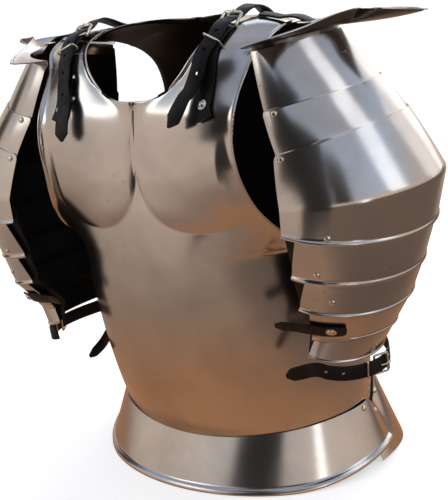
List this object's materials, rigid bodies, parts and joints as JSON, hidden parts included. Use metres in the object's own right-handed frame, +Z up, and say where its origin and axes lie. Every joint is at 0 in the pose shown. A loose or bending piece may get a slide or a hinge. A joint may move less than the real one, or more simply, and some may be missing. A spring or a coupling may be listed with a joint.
{
  "type": "cuirass with pauldrons",
  "caption": "Steel cuirass with breastplate, backplate, flared fauld and articulated winged pauldrons, joined by buckled leather straps.",
  "frame": {"origin": "centre of the overall box at the height of the fauld's flat rim, on which the armour stands", "axes": "+Z up, the front faces -Y, the wearer's left is +X"},
  "size_m": [0.6734, 0.342, 0.5917],
  "materials": {
    "steel": "satin polished",
    "black leather": "smooth black",
    "nickel": "nickel plated"
  },
  "bodies": {
    "cuirass": {"breastplate": "steel", "backplate": "steel", "front_fauld": "steel", "rear_fauld": "steel", "left_top_plate": "steel", "left_wing": "steel", "left_chest_strap": "black leather", "left_shoulder_strap": "black leather", "left_shoulder_buckle": "nickel", "left_shoulder_prong": "nickel", "left_strap_keeper": "nickel", "left_chest_rivet": "nickel", "left_suspension_strap": "black leather", "left_suspension_buckle": "nickel", "right_top_plate": "steel", "right_wing": "steel", "right_chest_strap": "black leather", "right_shoulder_strap": "black leather", "right_shoulder_buckle": "nickel", "right_shoulder_prong": "nickel", "right_strap_keeper": "nickel", "right_chest_rivet": "nickel", "right_suspension_strap": "black leather", "right_suspension_buckle": "nickel"},
    "left_second": {"left_second_plate": "steel", "left_second_front_pivot": "nickel", "left_second_rear_pivot": "nickel"},
    "left_main": {"left_main_plate": "steel", "left_lame_4": "steel", "left_lame_5": "steel", "left_lame_6": "steel", "left_lame_7": "steel", "left_front_band": "black leather", "left_rear_band": "black leather", "left_main_front_pivot": "nickel", "left_main_rear_pivot": "nickel", "left_washer_strap": "black leather", "left_washer_rivet": "nickel", "left_arm_strap": "black leather", "left_arm_buckle": "nickel", "left_arm_prong": "nickel", "left_arm_keeper": "nickel"},
    "right_second": {"right_second_plate": "steel", "right_second_front_pivot": "nickel", "right_second_rear_pivot": "nickel"},
    "right_main": {"right_main_plate": "steel", "right_lame_4": "steel", "right_lame_5": "steel", "right_lame_6": "steel", "right_lame_7": "steel", "right_front_band": "black leather", "right_rear_band": "black leather", "right_main_front_pivot": "nickel", "right_main_rear_pivot": "nickel", "right_washer_strap": "black leather", "right_washer_rivet": "nickel", "right_arm_strap": "black leather", "right_arm_buckle": "nickel", "right_arm_prong": "nickel", "right_arm_keeper": "nickel"}
  },
  "joints": [
    {"name": "left_second_plate_hinge", "type": "hinge", "parent": "cuirass", "child": "left_second", "pos_m": [0.19096, -0.04271, 0.48107], "axis": [0, -1, 0], "range_deg": [0, 8]},
    {"name": "left_main_plate_hinge", "type": "hinge", "parent": "left_second", "child": "left_main", "pos_m": [0.2046, -0.04696, 0.43533], "axis": [0, -1, 0], "range_deg": [0, 8]},
    {"name": "right_second_plate_hinge", "type": "hinge", "parent": "cuirass", "child": "right_second", "pos_m": [-0.19096, -0.04271, 0.48107], "axis": [0, 1, 0], "range_deg": [0, 8]},
    {"name": "right_main_plate_hinge", "type": "hinge", "parent": "right_second", "child": "right_main", "pos_m": [-0.2046, -0.04696, 0.43533], "axis": [0, 1, 0], "range_deg": [0, 8]}
  ]
}
